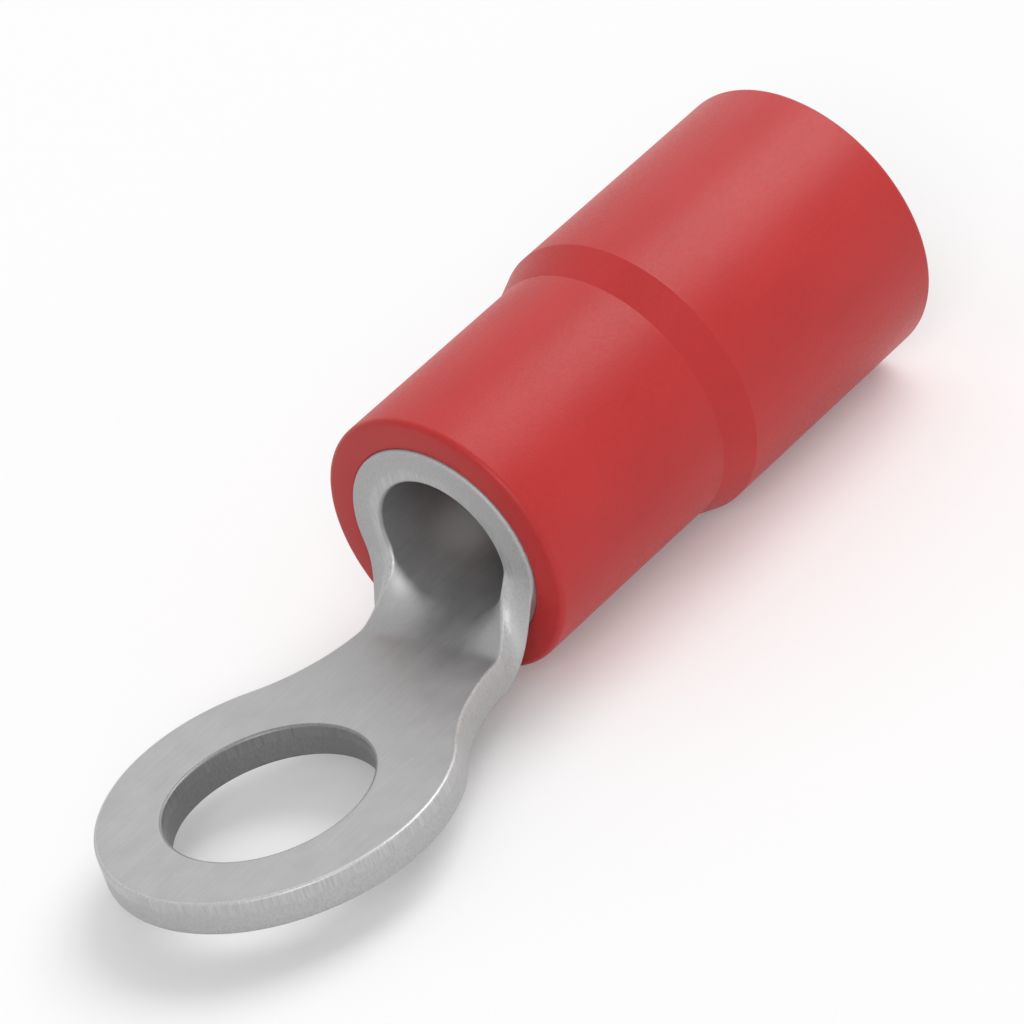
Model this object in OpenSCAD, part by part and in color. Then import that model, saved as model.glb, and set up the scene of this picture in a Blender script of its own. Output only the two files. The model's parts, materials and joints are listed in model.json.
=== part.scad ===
// Insulated ring terminal for a 3 mm stud and a 0.5 to 1.5 mm2 stranded wire.
// Origin: centre of the stud hole, on the underside of the tongue.
// +X runs along the wire barrel to the wire entry, +Z is up. Millimetres.

/* [Ring tongue] */
// Thickness of the copper sheet
sheet_t = 0.55; // [0.3:0.05:0.8]
// Diameter of the stud hole
stud_hole_d = 3.2; // [2.2:0.1:4.2]
// Outer diameter of the ring
ring_d = 5.5; // [5:0.1:8]
// How far the ring's centre lies behind the stud hole's centre
ring_shift = 0.15; // [0:0.05:0.4]
// Width of the neck at its narrowest
neck_w = 2.8; // [2:0.1:3.6]
// Radius of the hollow curve from the ring into the neck
neck_r = 3; // [1.5:0.1:4]
// Straight stretch of the neck's edge, between the hollow curve and the barrel's corner
neck_l = 0; // [0:0.1:2]

/* [Wire barrel] */
// Bore of the wire barrel
barrel_bore_d = 2.3; // [1.8:0.1:2.8]
// Length of the wire barrel
barrel_l = 4.4; // [3.5:0.1:8]
// Radius of the blank's corner, from the neck's edge into the barrel's front edge
corner_r = 0.7; // [0.5:0.1:1.2]
// Length of neck ahead of that corner over which the sheet begins to curl up
curl_lead = 0.2; // [0.1:0.1:1]
// Number of ring grooves in the barrel's bore, which grip the strands
grooves = 3; // [0:1:4]
// Distance from the barrel's front edge to the middle of the first groove
groove_x = 1.9; // [0.5:0.1:2.5]
// Width of a ring groove
groove_w = 0.35; // [0.2:0.05:0.5]
// Depth of a ring groove
groove_depth = 0.08; // [0.04:0.01:0.15]

/* [Insulating sleeve] */
// How far the barrel's front edge stands out of the sleeve
sleeve_setback = 0.05; // [0:0.05:0.5]
// Wall of the sleeve over the barrel
sleeve_wall = 0.5; // [0.4:0.05:0.8]
// Rise of the shoulder, from the front part's radius to the rear part's
shoulder_rise = 0.2; // [0.1:0.05:0.5]
// Length of the sloping shoulder
shoulder_l = 0.55; // [0.3:0.05:1]
// How far the shoulder ends behind the barrel's rear edge
shoulder_back = 0.1; // [0:0.1:0.5]
// Wall of the sleeve around the wire entry
entry_wall = 0.45; // [0.4:0.05:0.6]
// Length of the straight bore of the wire entry, which takes the wire's insulation
entry_l = 3.45; // [2.5:0.05:6]
// Length of the inside funnel that leads the strands into the barrel
funnel_l = 0.9; // [0.6:0.1:1.6]
// Clearance round the barrel's bore at the funnel's narrow end
funnel_clearance = 0.05; // [0:0.05:0.2]
// Rounding of the sleeve's outer edge at each end
edge_round = 0.1; // [0.05:0.05:0.25]
// Chamfer round the mouth of the wire entry
mouth_chamfer = 0.2; // [0.1:0.05:0.3]

/* [Hidden] */
$fn = 96;

// A cut reaches this far past the solid that it cuts
past = 1;
// The curled neck lies this far inside the faces of the tongue and the barrel, and runs into
// each by the lap, so that the three join as one sheet
join_inset = 0.005;
join_lap = 0.1;
// Steps of the curled neck across each half, and along each of its two stretches
steps_across = 14;
steps_along = 18;

barrel_ir = barrel_bore_d / 2;
barrel_or = barrel_ir + sheet_t;
// Radius of the middle of the rolled sheet
barrel_mr = barrel_ir + sheet_t / 2;

// Centre of the hollow curve at the +Y side, and where the curve leaves the ring
hollow_y = neck_w / 2 + neck_r;
hollow_x = ring_shift + sqrt(pow(ring_d / 2 + neck_r, 2) - pow(hollow_y, 2));
leave_share = ring_d / 2 / (ring_d / 2 + neck_r);
leave_x = ring_shift + (hollow_x - ring_shift) * leave_share;
leave_y = hollow_y * leave_share;

corner_x = hollow_x + neck_l;
curl_x = corner_x - curl_lead;
barrel_x = corner_x + corner_r;
barrel_end = barrel_x + barrel_l;

sleeve_x = barrel_x + sleeve_setback;
front_r = barrel_or + sleeve_wall;
rear_r = front_r + shoulder_rise;
entry_r = rear_r - entry_wall;
shoulder_end = barrel_end + shoulder_back;
shoulder_x = shoulder_end - shoulder_l;
funnel_end = barrel_end + funnel_l;
chamfer_x = funnel_end + entry_l;
sleeve_end = chamfer_x + mouth_chamfer;

// Half width of the flat blank at a place along the neck
function half_w(x) =
    x < leave_x ? sqrt(pow(ring_d / 2, 2) - pow(x - ring_shift, 2))
    : x < hollow_x ? hollow_y - sqrt(pow(neck_r, 2) - pow(hollow_x - x, 2))
    : x < corner_x ? neck_w / 2
    : neck_w / 2 + corner_r - sqrt(max(0, pow(corner_r, 2) - pow(x - corner_x, 2)));

// How far the curl has come at a place along the neck: 0 is flat, 1 is the barrel's radius
function curl(x) = let (t = min(max((x - curl_x) / (barrel_x - curl_x), 0), 1)) t * t * (3 - 2 * t);

// A point of the curled sheet: across runs along its middle from the keel, out is from the middle
function sheet_point(x, across, out) =
    let (bend = max(curl(x), 0.0001) / barrel_mr, turn = across * bend * 180 / PI)
    [x, sin(turn) * (1 / bend + out), sheet_t / 2 + 1 / bend - cos(turn) * (1 / bend + out)];

// Places along the neck where the curled sheet has a section, closer together round the corner
sections = concat(
    [curl_x - join_lap],
    [for (i = [0 : steps_along - 1]) curl_x + curl_lead * i / steps_along],
    [for (i = [0 : steps_along]) corner_x + corner_r * sin(90 * i / steps_along)],
    [barrel_x + join_lap]
);

// One closed section: the underside from -Y to +Y, then the top side back again
function section_ring(x) =
    let (half_t = sheet_t / 2 - join_inset, step = (half_w(x) - join_inset) / steps_across)
    concat(
        [for (j = [-steps_across : steps_across]) sheet_point(x, j * step, half_t)],
        [for (j = [steps_across : -1 : -steps_across]) sheet_point(x, j * step, -half_t)]
    );

// Outline of the flat tongue, as far as the sheet stays flat
module tongue_outline() {
    translate([ring_shift, 0]) circle(d = ring_d);
    difference() {
        translate([leave_x, -leave_y])
            square([min(curl_x, hollow_x) - leave_x, 2 * leave_y]);
        for (side = [-1, 1])
            translate([hollow_x, side * hollow_y]) circle(r = neck_r);
    }
    if (curl_x > hollow_x)
        translate([hollow_x, -neck_w / 2]) square([curl_x - hollow_x, neck_w]);
}

// The neck, one sheet of even thickness that curls from flat up into the barrel's lower half
module curled_neck() {
    ring = 2 * (2 * steps_across + 1);
    last = (len(sections) - 1) * ring;
    polyhedron(
        points = [for (x = sections) each section_ring(x)],
        faces = concat(
            [for (i = [0 : len(sections) - 2], j = [0 : ring - 1])
                let (a = i * ring + j, b = i * ring + (j + 1) % ring)
                each [[a, b + ring, b], [a, a + ring, b + ring]]],
            [for (j = [0 : 2 * steps_across - 1])
                let (a = j, b = ring - 1 - j)
                each [[a, b - 1, b], [a, a + 1, b - 1]]],
            [for (j = [0 : 2 * steps_across - 1])
                let (a = last + j, b = last + ring - 1 - j)
                each [[a, b, b - 1], [a, b - 1, a + 1]]]
        )
    );
}

// A cylinder along +X on the barrel's axis, between two places along X
module on_axis(x0, x1, r) {
    translate([x0, 0, barrel_or]) rotate([0, 90, 0]) cylinder(h = x1 - x0, r = r);
}

module terminal() {
    groove_pitch = (barrel_l - groove_x) / max(grooves, 1);
    groove_r = barrel_ir + groove_depth;
    color("silver") {
        difference() {
            linear_extrude(sheet_t) tongue_outline();
            translate([0, 0, -past]) cylinder(h = sheet_t + 2 * past, d = stud_hole_d);
        }
        curled_neck();
        difference() {
            on_axis(barrel_x, barrel_end, barrel_or);
            on_axis(barrel_x - past, barrel_end + past, barrel_ir);
            for (i = [0 : 1 : grooves - 1]) {
                middle = barrel_x + groove_x + i * groove_pitch;
                on_axis(middle - groove_w / 2, middle + groove_w / 2, groove_r);
            }
        }
    }
}

// Half outline of a round bar from the origin along +Y, its far edge rounded
module rounded_bar(r, length) {
    square([r, length - edge_round]);
    square([r - edge_round, length]);
    translate([r - edge_round, length - edge_round]) circle(r = edge_round);
}

// Half outline of the sleeve without its bore: Y is the place along the barrel, X the radius.
// Both parts run outwards from the plane where the shoulder ends.
module sleeve_outline() {
    translate([0, shoulder_end]) mirror([0, 1]) rounded_bar(front_r, shoulder_end - sleeve_x);
    translate([0, shoulder_end]) rounded_bar(rear_r, sleeve_end - shoulder_end);
    polygon([[0, shoulder_x], [front_r, shoulder_x], [rear_r, shoulder_end], [0, shoulder_end]]);
}

// Half outline of all that is open inside the sleeve, in one piece so that no skin is left across
// it: the barrel's seat, the funnel, the wire entry and its chamfered mouth
module sleeve_opening() {
    polygon([
        [-past, sleeve_x - past],
        [barrel_or, sleeve_x - past],
        [barrel_or, barrel_end],
        [barrel_ir + funnel_clearance, barrel_end],
        [entry_r, funnel_end],
        [entry_r, chamfer_x],
        [entry_r + mouth_chamfer + past, sleeve_end + past],
        [-past, sleeve_end + past]
    ]);
}

module insulating_sleeve() {
    color("firebrick")
        translate([0, 0, barrel_or]) rotate([0, 90, 0]) rotate_extrude() difference() {
            sleeve_outline();
            sleeve_opening();
        }
}

terminal();
insulating_sleeve();
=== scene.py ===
import json
import math

import bmesh
import bpy
from mathutils import Matrix, Vector


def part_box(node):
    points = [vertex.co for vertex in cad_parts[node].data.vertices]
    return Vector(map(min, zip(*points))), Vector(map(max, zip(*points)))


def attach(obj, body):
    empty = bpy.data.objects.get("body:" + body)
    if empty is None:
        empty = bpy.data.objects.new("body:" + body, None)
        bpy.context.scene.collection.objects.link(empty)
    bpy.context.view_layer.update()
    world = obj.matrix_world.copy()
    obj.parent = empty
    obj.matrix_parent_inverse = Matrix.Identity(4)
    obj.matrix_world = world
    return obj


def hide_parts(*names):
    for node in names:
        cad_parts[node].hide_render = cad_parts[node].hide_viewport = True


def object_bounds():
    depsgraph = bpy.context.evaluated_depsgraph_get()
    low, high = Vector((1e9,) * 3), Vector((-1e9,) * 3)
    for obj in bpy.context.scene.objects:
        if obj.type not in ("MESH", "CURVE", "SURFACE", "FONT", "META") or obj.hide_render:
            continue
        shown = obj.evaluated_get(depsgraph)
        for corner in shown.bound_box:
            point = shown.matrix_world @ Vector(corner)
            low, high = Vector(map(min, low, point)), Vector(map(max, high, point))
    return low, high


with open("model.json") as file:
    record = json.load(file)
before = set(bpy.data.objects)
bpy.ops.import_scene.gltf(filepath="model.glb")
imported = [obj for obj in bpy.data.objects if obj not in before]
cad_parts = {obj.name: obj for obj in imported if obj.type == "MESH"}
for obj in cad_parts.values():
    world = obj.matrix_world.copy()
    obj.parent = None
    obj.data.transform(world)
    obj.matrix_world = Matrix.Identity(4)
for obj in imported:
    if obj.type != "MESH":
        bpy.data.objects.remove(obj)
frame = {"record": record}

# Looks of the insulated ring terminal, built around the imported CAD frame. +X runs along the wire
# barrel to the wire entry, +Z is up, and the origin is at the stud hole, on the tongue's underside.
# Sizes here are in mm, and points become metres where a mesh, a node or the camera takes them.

cad_low, cad_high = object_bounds()
MM = 0.001

# ---------------------------------------------------------------- sizes, in mm
MOUNTS = {mount["name"]: mount for mount in frame["record"]["mounts"]}
BOX = {
    name: [[axis / MM for axis in corner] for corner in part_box(name)]
    for name in ("terminal", "insulating_sleeve")
}

# Sheet and ring
SHEET_T = MOUNTS["stud_hole"]["dims"]["length_mm"]
HOLE_R = MOUNTS["stud_hole"]["dims"]["r_mm"]
RING_R = BOX["terminal"][1][1]
RING_SHIFT = BOX["terminal"][0][0] + RING_R
SHEARED_ROUND = 0.05
ALMOST_FLAT = 0.0001

# Wire barrel, and the neck that curls up into it
BARREL_IR = MOUNTS["wire_barrel"]["dims"]["r_mm"]
BARREL_OR = BARREL_IR + SHEET_T
BARREL_MR = BARREL_IR + SHEET_T / 2
BARREL_L = MOUNTS["wire_barrel"]["dims"]["length_mm"]
BARREL_X = MOUNTS["wire_barrel"]["pos_m"][0] / MM - BARREL_L / 2
BARREL_END = BARREL_X + BARREL_L
NECK_R = 3
CORNER_R = 0.7
CURL_LEAD = 0.2
GROOVES = 3
GROOVE_X = 1.9
GROOVE_W = 0.35
GROOVE_DEPTH = 0.08

# The hollow curve is tangent to the ring, and its far end is the neck's narrowest place
CORNER_X = BARREL_X - CORNER_R
HOLLOW_Y = math.sqrt((RING_R + NECK_R) ** 2 - (CORNER_X - RING_SHIFT) ** 2)
NECK_HALF = HOLLOW_Y - NECK_R
CURL_X = CORNER_X - CURL_LEAD
LEAVE_ANGLE = math.atan2(HOLLOW_Y, CORNER_X - RING_SHIFT)

# Sleeve
SLEEVE_X = BOX["insulating_sleeve"][0][0]
SLEEVE_END = BOX["insulating_sleeve"][1][0]
REAR_R = min(BOX["insulating_sleeve"][1][1], BOX["insulating_sleeve"][1][2] - BARREL_OR)
ENTRY_R = MOUNTS["wire_entry"]["dims"]["r_mm"]
ENTRY_L = MOUNTS["wire_entry"]["dims"]["length_mm"]
FUNNEL_END = MOUNTS["wire_entry"]["pos_m"][0] / MM - ENTRY_L / 2
CHAMFER_X = FUNNEL_END + ENTRY_L
SHOULDER_RISE = 0.2
SHOULDER_L = 0.55
SHOULDER_BACK = 0.1
FRONT_R = REAR_R - SHOULDER_RISE
SHOULDER_END = BARREL_END + SHOULDER_BACK
FUNNEL_CLEARANCE = 0.05
OUTER_ROUND = 0.1
SHOULDER_ROUND = 0.025
INNER_ROUND = 0.03
FUNNEL_ROUND = 0.1

# Mesh steps. The ring's grid and the neck's meet on a line across the hollow curve, at CROSS_STEP
RING_STEPS = 72
HOLLOW_STEPS = 36
CROSS_STEP = 18
CORNER_STEPS = 18
RIM_STEPS = 36
ACROSS_STEPS = 24
RADIAL_STEPS = 10
BARREL_STEPS = 24
ROUND_STEPS = 5
WALL_STEPS = 4
LATHE_STEPS = 256
CROSS_LINE = RING_STEPS + CROSS_STEP
CORNER_END = RING_STEPS + HOLLOW_STEPS + CORNER_STEPS
ACROSS = range(-ACROSS_STEPS, ACROSS_STEPS + 1)
WELD_DISTANCE = 0.0002
NORMALS_WEIGHT = 100
THROUGH = "through_sheet"
SHEARED_SLOT = 1
# The hole wall's slot, whose material has darker colours that are painted shade inside the stud hole
PAINTED_SHADE_HOLE_SLOT = 2

CAMERA_AIM = (6.004, -0.041, 1.358)
CAMERA_DISTANCE = 98.57
CAMERA_AZIMUTH = -39.85
CAMERA_ELEVATION = 30.09
CAMERA_ROLL = -19.55
CAMERA_LENS = 234.8
CAMERA_SENSOR = 36

WHITE = (1, 1, 1, 1)
WORLD_LEVEL = 0.44
KEY = {"azimuth": 75, "elevation": 50, "spread": 40, "level": 0.4}
FILL = {"azimuth": 120, "elevation": 42, "spread": 60, "level": 0.08}
FRONT = {"azimuth": -46, "elevation": 34, "spread": 30, "level": 0.27}
FLOOR_SIZE = 6000
FLOOR_COLOUR = (0.86, 0.86, 0.86, 1)
FLOOR_ROUGHNESS = 0.9
FLOOR_CAMERA_LIFT = 0.17

# ---------------------------------------------------------------- surfaces
# Colours are linear. A noise's size is its grain in mm, drawn out along X, Y and Z by its stretch.
# A middle is the part of a value's range that is drawn out to the full range between two ends.
NOISE_MIDDLE = (0.35, 0.65)
TONE_MIDDLE = (0.38, 0.62)

# Satin tin over rolled sheet
TIN_METALLIC = 0.5
TIN_DARK = (0.37, 0.37, 0.372)
TIN_LIGHT = (0.43, 0.43, 0.43)
TIN_ROUGHNESS = (0.4, 0.52)
ROLLING_LINES = {"size": 0.045, "stretch": (22, 1, 1), "detail": 4, "roughness": 0.6}
TIN_MOTTLE = {"size": 0.55, "detail": 4, "roughness": 0.6, "seed": 3}
TIN_GRAIN = {"size": 0.03, "detail": 2, "seed": 7}
LINES_SHARE = 0.45
LINES_BUMP = {"depth": 0.004, "strength": 0.5}
GRAIN_BUMP = {"depth": 0.003, "strength": 0.5}

# Sheared and punched edges: burnished for a share of the way through the sheet, then torn. The
# line between the two is ragged, and the tone falls with the depth.
SHEARED_DARK = (0.40, 0.40, 0.40)
SHEARED_LIGHT = (0.54, 0.54, 0.54)
# The punched hole wall's colours are far darker than the sheared edge's: painted shade inside the stud
# hole
PUNCHED_PAINTED_SHADE_DARK = (0.17, 0.17, 0.17)
PUNCHED_PAINTED_SHADE_LIGHT = (0.25, 0.25, 0.25)
BURNISHED_ROUGHNESS = (0.34, 0.44)
TORN_ROUGHNESS = (0.5, 0.66)
DRAG_LINES = {"size": 0.03, "stretch": (1, 1, 14), "detail": 3, "roughness": 0.6}
TORN_GRAIN = {"size": 0.035, "stretch": (1, 1, 1.5), "detail": 4, "roughness": 0.7, "seed": 11}
EDGE_PATCHES = {"size": 0.3, "detail": 3, "seed": 5}
BURNISH_SHARE = 0.4
BURNISH_BLUR = 0.03
RAGGED_SHARE = 0.25
DEPTH_TONES = (0.62, 0.4)
DEPTH_SHARE = 0.4
DEPTH_MIDDLE = (0.1, 0.9)
EDGE_BUMP = {"depth": 0.008, "strength": 0.6}

# Semi-gloss moulded PVC
PVC_DARK = (0.47, 0.02, 0.02)
PVC_LIGHT = (0.54, 0.028, 0.028)
PVC_SPECULAR = 0.35
PVC_ROUGHNESS = (0.36, 0.48)
PVC_CLOUDS = {"size": 1.6, "stretch": (2, 1, 1), "detail": 4, "roughness": 0.55}
PVC_TEXTURE = {"size": 0.05, "detail": 3, "roughness": 0.6, "seed": 4}
PVC_WAVES = {"size": 2.2, "stretch": (1.6, 1, 1), "detail": 2, "seed": 9}
TEXTURE_SHARE = 0.3
WAVES_BUMP = {"depth": 0.03, "strength": 0.35}
TEXTURE_BUMP = {"depth": 0.006, "strength": 0.5}


# ---------------------------------------------------------------- the blank, rolled up
def curl(x):
    """How far the curl has come at a place along the neck: 0 is flat, 1 is the barrel's radius."""
    t = min(max((x - CURL_X) / (BARREL_X - CURL_X), 0), 1)
    return t * t * (3 - 2 * t)


def sheet_point(x, across, out):
    """A point of the curled sheet. Across runs along its middle from the keel, out is from the middle."""
    bend = max(curl(x), ALMOST_FLAT) / BARREL_MR
    turn = across * bend
    radius = 1 / bend
    return (x, math.sin(turn) * (radius + out), SHEET_T / 2 + radius - math.cos(turn) * (radius + out))


def arc(centre, radius, start, end, steps):
    """Points of an arc, without its last one."""
    angles = [start + (end - start) * i / steps for i in range(steps)]
    return [(centre[0] + radius * math.cos(a), centre[1] + radius * math.sin(a)) for a in angles]


def half_outline(inset):
    """The blank's edge at +Y, drawn in by inset: ring, hollow curve, corner and barrel's front edge."""
    corner_y = NECK_HALF + CORNER_R
    seam = math.pi * BARREL_MR
    points = arc((RING_SHIFT, 0), RING_R - inset, math.pi, LEAVE_ANGLE, RING_STEPS)
    hollow = (CORNER_X, HOLLOW_Y)
    points += arc(hollow, NECK_R + inset, math.pi + LEAVE_ANGLE, 1.5 * math.pi, HOLLOW_STEPS)
    points += arc((CORNER_X, corner_y), CORNER_R + inset, -0.5 * math.pi, 0, CORNER_STEPS)
    rim = [corner_y + (seam - corner_y) * i / RIM_STEPS for i in range(RIM_STEPS + 1)]
    return points + [(BARREL_X + inset, y) for y in rim]


def mirrored(points):
    """The same points at -Y, in reverse order."""
    return [(x, -y) for x, y in reversed(points)]


def whole_outline(inset):
    """The blank's whole edge as a closed loop, drawn in by inset."""
    half = half_outline(inset)
    return half + mirrored(half[1:-1])


def ring_outline():
    """The ring's closed outline inside its rounded edge, cut straight across where the neck starts."""
    half = half_outline(SHEARED_ROUND)
    x, y = half[CROSS_LINE]
    cut = [(x, -y * j / ACROSS_STEPS) for j in ACROSS]
    return half[:CROSS_LINE] + cut + mirrored(half[1:CROSS_LINE])


def edge_profile():
    """The rounded section of a sheared edge as (inset, out), from the top side to the underside."""
    half = SHEET_T / 2
    quarter = []
    for i in range(ROUND_STEPS + 1):
        a = math.pi / 2 * i / ROUND_STEPS
        quarter.append((SHEARED_ROUND * (1 - math.sin(a)), half - SHEARED_ROUND * (1 - math.cos(a))))
    wall = half - SHEARED_ROUND
    straight = [(0, wall * (2 * i / WALL_STEPS - 1)) for i in range(1, WALL_STEPS)]
    return [(inset, -out) for inset, out in quarter] + straight + quarter[::-1]


def through_sheet(out):
    """How far through the sheet a place lies, from 0 on its top side to 1 on its underside."""
    return out / SHEET_T + 0.5


class Skin:
    """A mesh gathered from grids of points, welded where they meet."""

    def __init__(self):
        self.mesh = bmesh.new()
        self.through = self.mesh.verts.layers.float.new(THROUGH)

    def grid(self, rows, closed=False, material=0, through=None):
        """Quads between rows of points in mm. A closed row runs back to its first point. Through
        gives each row's share of the way through the sheet."""
        made = [[self.mesh.verts.new([MM * value for value in point]) for point in row] for row in rows]
        for row, share in zip(made, through or []):
            for vert in row:
                vert[self.through] = share
        for low, high in zip(made, made[1:]):
            count = len(low)
            for i in range(count if closed else count - 1):
                j = (i + 1) % count
                face = self.mesh.faces.new((low[i], low[j], high[j], high[i]))
                face.smooth = True
                face.material_index = material

    def piece(self, name, node, materials):
        """The welded mesh as an object that stands for a CAD node."""
        bmesh.ops.remove_doubles(self.mesh, verts=self.mesh.verts, dist=WELD_DISTANCE * MM)
        bmesh.ops.recalc_face_normals(self.mesh, faces=self.mesh.faces)
        data = bpy.data.meshes.new(name)
        self.mesh.to_mesh(data)
        self.mesh.free()
        for material in materials:
            data.materials.append(material)
        made = bpy.data.objects.new(name, data)
        bpy.context.scene.collection.objects.link(made)
        normals = made.modifiers.new("even_normals", "WEIGHTED_NORMAL")
        normals.weight = NORMALS_WEIGHT
        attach(made, "root")
        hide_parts(node)


def bore_rows():
    """Places along the barrel's bore, each with the depth of the ring groove there."""
    rows = [(BARREL_X + SHEARED_ROUND, 0)]
    slope = GROOVE_DEPTH / 2
    pitch = (BARREL_L - GROOVE_X) / GROOVES
    for i in range(GROOVES):
        middle = BARREL_X + GROOVE_X + i * pitch
        start, end = middle - GROOVE_W / 2, middle + GROOVE_W / 2
        rows += [(start, 0), (start + slope, GROOVE_DEPTH), (end - slope, GROOVE_DEPTH), (end, 0)]
    return rows + [(BARREL_END - SHEARED_ROUND, 0)]


def barrel_rows():
    """Places along the outside of the barrel."""
    length = BARREL_L - 2 * SHEARED_ROUND
    return [(BARREL_X + SHEARED_ROUND + length * i / BARREL_STEPS, 0) for i in range(BARREL_STEPS + 1)]


def around_barrel():
    """Places across the sheet all the way round the barrel, from seam to seam."""
    half = half_outline(SHEARED_ROUND)
    rim = [y for _, y in half[CORNER_END + 1 :]]
    front = [half[CORNER_END][1] * j / ACROSS_STEPS for j in ACROSS]
    return [-y for y in reversed(rim[:-1])] + front + rim


def add_sheet_side(skin, out, rows_along):
    """One side of the sheet inside its rounded edges: the ring, the neck and the barrel."""
    share = through_sheet(out)
    ring = []
    for i in range(RADIAL_STEPS + 1):
        outward = i / RADIAL_STEPS
        row = []
        for x, y in ring_outline():
            hole_edge = (HOLE_R + SHEARED_ROUND) / math.hypot(x, y)
            scale = hole_edge + (1 - hole_edge) * outward
            row.append(sheet_point(x * scale, y * scale, out))
        ring.append(row)
    half = half_outline(SHEARED_ROUND)[CROSS_LINE : CORNER_END + 1]
    neck = [[sheet_point(x, y * j / ACROSS_STEPS, out) for j in ACROSS] for x, y in half]
    around = around_barrel()
    barrel = [[sheet_point(x, y, out + depth) for y in around] for x, depth in rows_along]
    skin.grid(ring, closed=True, through=[share] * len(ring))
    skin.grid(neck, through=[share] * len(neck))
    skin.grid(barrel, closed=True, through=[share] * len(barrel))


def make_terminal():
    """The stamped and rolled terminal, as one skin with rounded sheared edges."""
    skin = Skin()
    around = around_barrel()
    add_sheet_side(skin, -SHEET_T / 2, bore_rows())
    add_sheet_side(skin, SHEET_T / 2, barrel_rows())
    turns = [math.atan2(y, x) for x, y in ring_outline()]
    edge = []
    rear = []
    hole = []
    for inset, out in edge_profile():
        r = HOLE_R + inset
        edge.append([sheet_point(x, y, out) for x, y in whole_outline(inset)])
        rear.append([sheet_point(BARREL_END - inset, y, out) for y in around])
        hole.append([sheet_point(r * math.cos(a), r * math.sin(a), out) for a in turns])
    through = [through_sheet(out) for _, out in edge_profile()]
    skin.grid(edge, closed=True, material=SHEARED_SLOT, through=through)
    skin.grid(rear, closed=True, material=SHEARED_SLOT, through=through)
    skin.grid(hole, closed=True, material=PAINTED_SHADE_HOLE_SLOT, through=through)
    sheared = cut_tin("sheared_tin", SHEARED_DARK, SHEARED_LIGHT)
    # The hole wall's far darker colours are painted shade inside the stud hole, laid over its burnished
    # and torn bands
    punched_painted_shade = cut_tin("punched_tin_painted_shade", PUNCHED_PAINTED_SHADE_DARK, PUNCHED_PAINTED_SHADE_LIGHT)
    skin.piece("ring_terminal", "terminal", [rolled_tin(), sheared, punched_painted_shade])


# ---------------------------------------------------------------- the sleeve
def rounded_outline(corners):
    """A closed outline of (place along, radius) with its corners rounded by their third number."""
    points = []
    for i, (x, r, rounding) in enumerate(corners):
        if rounding == 0:
            points.append((x, r))
            continue
        here = Vector((x, r))
        before = (Vector(corners[i - 1][:2]) - here).normalized()
        after = (Vector(corners[(i + 1) % len(corners)][:2]) - here).normalized()
        opening = before.angle(after)
        reach = rounding / math.tan(opening / 2)
        centre = here + (before + after).normalized() * rounding / math.sin(opening / 2)
        start = here + before * reach - centre
        turn = start.angle_signed(here + after * reach - centre)
        for j in range(ROUND_STEPS + 1):
            spun = Matrix.Rotation(-turn * j / ROUND_STEPS, 2) @ start
            points.append(tuple(centre + spun))
    return points


def sleeve_corners():
    """The sleeve's half section as corners (place along the barrel, radius, rounding)."""
    return [
        (SLEEVE_X, BARREL_OR, INNER_ROUND),
        (SLEEVE_X, FRONT_R, OUTER_ROUND),
        (SHOULDER_END - SHOULDER_L, FRONT_R, SHOULDER_ROUND),
        (SHOULDER_END, REAR_R, SHOULDER_ROUND),
        (SLEEVE_END, REAR_R, OUTER_ROUND),
        (SLEEVE_END, ENTRY_R + SLEEVE_END - CHAMFER_X, INNER_ROUND),
        (CHAMFER_X, ENTRY_R, INNER_ROUND),
        (FUNNEL_END, ENTRY_R, FUNNEL_ROUND),
        (BARREL_END, BARREL_IR + FUNNEL_CLEARANCE, INNER_ROUND),
        (BARREL_END, BARREL_OR, 0),
    ]


def make_sleeve():
    """The moulded sleeve, turned about the barrel's axis."""
    skin = Skin()
    outline = rounded_outline(sleeve_corners())
    turns = [2 * math.pi * i / LATHE_STEPS for i in range(LATHE_STEPS)]
    rows = [[(x, r * math.sin(a), BARREL_OR + r * math.cos(a)) for a in turns] for x, r in outline]
    skin.grid(rows + rows[:1], closed=True)
    skin.piece("sleeve", "insulating_sleeve", [red_pvc()])


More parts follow.
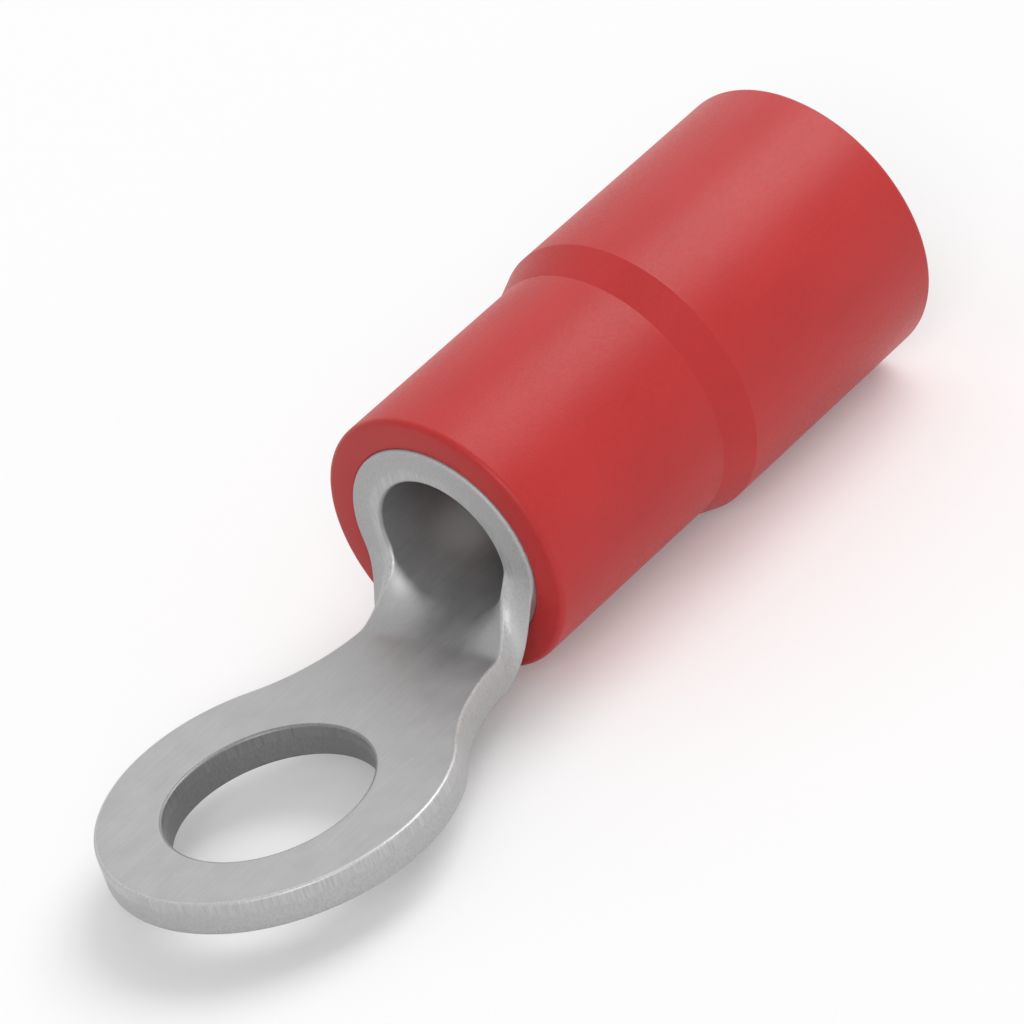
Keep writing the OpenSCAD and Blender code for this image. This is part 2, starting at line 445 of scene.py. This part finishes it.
# ---------------------------------------------------------------- materials
class Nodes:
    """A material whose nodes are added by short calls, with patterns fixed to the object."""

    def __init__(self, name):
        self.material = bpy.data.materials.new(name)
        self.material.use_nodes = True
        self.tree = self.material.node_tree
        self.shader = self.tree.nodes["Principled BSDF"]
        self.place = self.add("ShaderNodeTexCoord").outputs["Object"]

    def add(self, kind, **settings):
        node = self.tree.nodes.new(kind)
        for name, value in settings.items():
            setattr(node, name, value)
        return node

    def link(self, output, target):
        self.tree.links.new(output, target)

    def noise(self, size, stretch=(1, 1, 1), detail=3, roughness=0.5, seed=0):
        """Noise of a grain size in mm, drawn out along the axes by stretch."""
        mapping = self.add("ShaderNodeMapping")
        mapping.inputs["Location"].default_value = (seed, seed / 2, seed / 3)
        mapping.inputs["Scale"].default_value = [1 / (size * MM * factor) for factor in stretch]
        self.link(self.place, mapping.inputs["Vector"])
        noise = self.add("ShaderNodeTexNoise")
        noise.inputs["Scale"].default_value = 1
        noise.inputs["Detail"].default_value = detail
        noise.inputs["Roughness"].default_value = roughness
        self.link(mapping.outputs["Vector"], noise.inputs["Vector"])
        return noise.outputs["Fac"]

    def spread(self, value, ends=(0, 1), middle=NOISE_MIDDLE):
        """A value's middle range drawn out between two ends."""
        node = self.add("ShaderNodeMapRange")
        for name, number in zip(("From Min", "From Max", "To Min", "To Max"), (*middle, *ends)):
            node.inputs[name].default_value = number
        self.link(value, node.inputs["Value"])
        return node.outputs["Result"]

    def mix(self, share, first, second):
        """A mix of two values by a share, which is a number or a third value."""
        node = self.add("ShaderNodeMix")
        if isinstance(share, (int, float)):
            node.inputs["Factor"].default_value = share
        else:
            self.link(share, node.inputs["Factor"])
        self.link(first, node.inputs["A"])
        self.link(second, node.inputs["B"])
        return node.outputs["Result"]

    def colours(self, value, dark, light):
        """Base colour between two colours by a value."""
        node = self.add("ShaderNodeMix", data_type="RGBA")
        node.inputs["A"].default_value = (*dark, 1)
        node.inputs["B"].default_value = (*light, 1)
        self.link(value, node.inputs["Factor"])
        self.link(node.outputs["Result"], self.shader.inputs["Base Color"])

    def bump(self, height, depth, strength, under=None):
        """Bump of a depth in mm. Returns the normal, for the next bump or for the shader."""
        node = self.add("ShaderNodeBump")
        node.inputs["Strength"].default_value = strength
        node.inputs["Distance"].default_value = depth * MM
        self.link(height, node.inputs["Height"])
        if under:
            self.link(under, node.inputs["Normal"])
        return node.outputs["Normal"]

    def finish(self, roughness, normal):
        """The finished material, with its roughness and normal."""
        self.link(roughness, self.shader.inputs["Roughness"])
        self.link(normal, self.shader.inputs["Normal"])
        return self.material


def rolled_tin():
    """Satin tin plating over rolled sheet: fine lines along the strip, soft mottling, fine grain."""
    made = Nodes("rolled_tin")
    made.shader.inputs["Metallic"].default_value = TIN_METALLIC
    lines = made.noise(**ROLLING_LINES)
    tone = made.mix(LINES_SHARE, made.noise(**TIN_MOTTLE), lines)
    made.colours(made.spread(tone, middle=TONE_MIDDLE), TIN_DARK, TIN_LIGHT)
    fine = made.bump(lines, **LINES_BUMP)
    normal = made.bump(made.noise(**TIN_GRAIN), **GRAIN_BUMP, under=fine)
    return made.finish(made.spread(tone, TIN_ROUGHNESS), normal)


def cut_tin(name, dark, light):
    """A sheared or punched edge: a burnished band with drag lines, and a duller torn band below it. The
    punched edge's far darker colours are painted shade of the hole wall.
    """
    made = Nodes(name)
    made.shader.inputs["Metallic"].default_value = TIN_METALLIC
    patches = made.noise(**EDGE_PATCHES)
    torn = made.noise(**TORN_GRAIN)
    place = made.add("ShaderNodeAttribute", attribute_name=THROUGH).outputs["Fac"]
    ragged = made.mix(RAGGED_SHARE, place, patches)
    band = made.spread(ragged, middle=(BURNISH_SHARE - BURNISH_BLUR, BURNISH_SHARE + BURNISH_BLUR))
    lines = made.mix(band, made.noise(**DRAG_LINES), torn)
    tone = made.mix(DEPTH_SHARE, lines, made.spread(ragged, DEPTH_TONES, DEPTH_MIDDLE))
    made.colours(made.spread(tone, middle=TONE_MIDDLE), dark, light)
    burnished = made.spread(patches, BURNISHED_ROUGHNESS)
    roughness = made.mix(band, burnished, made.spread(torn, TORN_ROUGHNESS))
    return made.finish(roughness, made.bump(lines, **EDGE_BUMP))


def red_pvc():
    """Semi-gloss moulded PVC: fine spark-eroded texture, slow waviness and faint flow marks."""
    made = Nodes("moulded_red_pvc")
    made.shader.inputs["Specular IOR Level"].default_value = PVC_SPECULAR
    texture = made.noise(**PVC_TEXTURE)
    tone = made.mix(TEXTURE_SHARE, made.noise(**PVC_CLOUDS), texture)
    made.colours(made.spread(tone), PVC_DARK, PVC_LIGHT)
    slow = made.bump(made.noise(**PVC_WAVES), **WAVES_BUMP)
    normal = made.bump(texture, **TEXTURE_BUMP, under=slow)
    return made.finish(made.spread(texture, PVC_ROUGHNESS), normal)


# ---------------------------------------------------------------- stage
def direction(azimuth, elevation):
    a, e = math.radians(azimuth), math.radians(elevation)
    return Vector((math.sin(a) * math.cos(e), -math.cos(a) * math.cos(e), math.sin(e)))


def seen_share(nodes, links):
    """1 for the rays that show the background: camera, glossy and transmission rays."""
    path = nodes.new("ShaderNodeLightPath")
    share = path.outputs["Is Camera Ray"]
    for name in ("Is Glossy Ray", "Is Transmission Ray"):
        either = nodes.new("ShaderNodeMath")
        either.operation = "MAXIMUM"
        links.new(share, either.inputs[0])
        links.new(path.outputs[name], either.inputs[1])
        share = either.outputs[0]
    return share


def make_world():
    """Even white light, at full white only where it is seen or mirrored."""
    world = bpy.data.worlds.new("studio")
    bpy.context.scene.world = world
    world.use_nodes = True
    nodes, links = world.node_tree.nodes, world.node_tree.links
    level = nodes.new("ShaderNodeMapRange")
    level.inputs["To Min"].default_value = WORLD_LEVEL
    level.inputs["To Max"].default_value = 1
    links.new(seen_share(nodes, links), level.inputs["Value"])
    background = nodes["Background"]
    background.inputs["Color"].default_value = WHITE
    links.new(level.outputs["Result"], background.inputs["Strength"])


def make_floor():
    """A plain pale floor under the sleeve's lowest line."""
    data = bpy.data.meshes.new("floor")
    half = FLOOR_SIZE * MM / 2
    height = cad_low.z
    corners = [(x * half, y * half, height) for x, y in ((-1, -1), (1, -1), (1, 1), (-1, 1))]
    data.from_pydata(corners, [], [(0, 1, 2, 3)])
    floor = bpy.data.objects.new("floor", data)
    bpy.context.scene.collection.objects.link(floor)
    material = bpy.data.materials.new("pale_floor")
    material.use_nodes = True
    nodes, links = material.node_tree.nodes, material.node_tree.links
    shader = nodes["Principled BSDF"]
    shader.inputs["Base Color"].default_value = FLOOR_COLOUR
    shader.inputs["Roughness"].default_value = FLOOR_ROUGHNESS
    shader.inputs["Specular IOR Level"].default_value = 0
    shader.inputs["Emission Color"].default_value = WHITE
    lift = nodes.new("ShaderNodeMath")
    lift.operation = "MULTIPLY"
    lift.inputs[1].default_value = FLOOR_CAMERA_LIFT
    links.new(seen_share(nodes, links), lift.inputs[0])
    links.new(lift.outputs[0], shader.inputs["Emission Strength"])
    data.materials.append(material)


def make_lamp(name, azimuth, elevation, spread, level):
    """A broad distant lamp, even over the floor. Level is the share of white that it gives head-on."""
    light = bpy.data.lights.new(name, "SUN")
    light.angle = math.radians(spread)
    light.energy = level * math.pi
    lamp = bpy.data.objects.new(name, light)
    bpy.context.scene.collection.objects.link(lamp)
    lamp.rotation_euler = (-direction(azimuth, elevation)).to_track_quat("-Z", "Y").to_euler()


def make_camera():
    """The camera from its aim, distance and angles."""
    data = bpy.data.cameras.new("camera")
    data.sensor_width = CAMERA_SENSOR
    data.lens = CAMERA_LENS
    data.clip_start = CAMERA_DISTANCE * MM / 100
    data.clip_end = FLOOR_SIZE * MM
    camera = bpy.data.objects.new("camera", data)
    bpy.context.scene.collection.objects.link(camera)
    back = direction(CAMERA_AZIMUTH, CAMERA_ELEVATION)
    level_right = Vector((0, 0, 1)).cross(back).normalized()
    level_up = back.cross(level_right)
    roll = math.radians(CAMERA_ROLL)
    right = level_right * math.cos(roll) + level_up * math.sin(roll)
    up = back.cross(right)
    turned = Matrix((right, up, back)).transposed().to_4x4()
    camera.matrix_world = Matrix.Translation((Vector(CAMERA_AIM) + back * CAMERA_DISTANCE) * MM) @ turned
    bpy.context.scene.camera = camera


# ---------------------------------------------------------------- the scene
make_terminal()
make_sleeve()
make_world()
make_floor()
make_lamp("key", **KEY)
make_lamp("fill", **FILL)
make_lamp("front", **FRONT)
make_camera()
bpy.context.scene.view_settings.view_transform = "Standard"
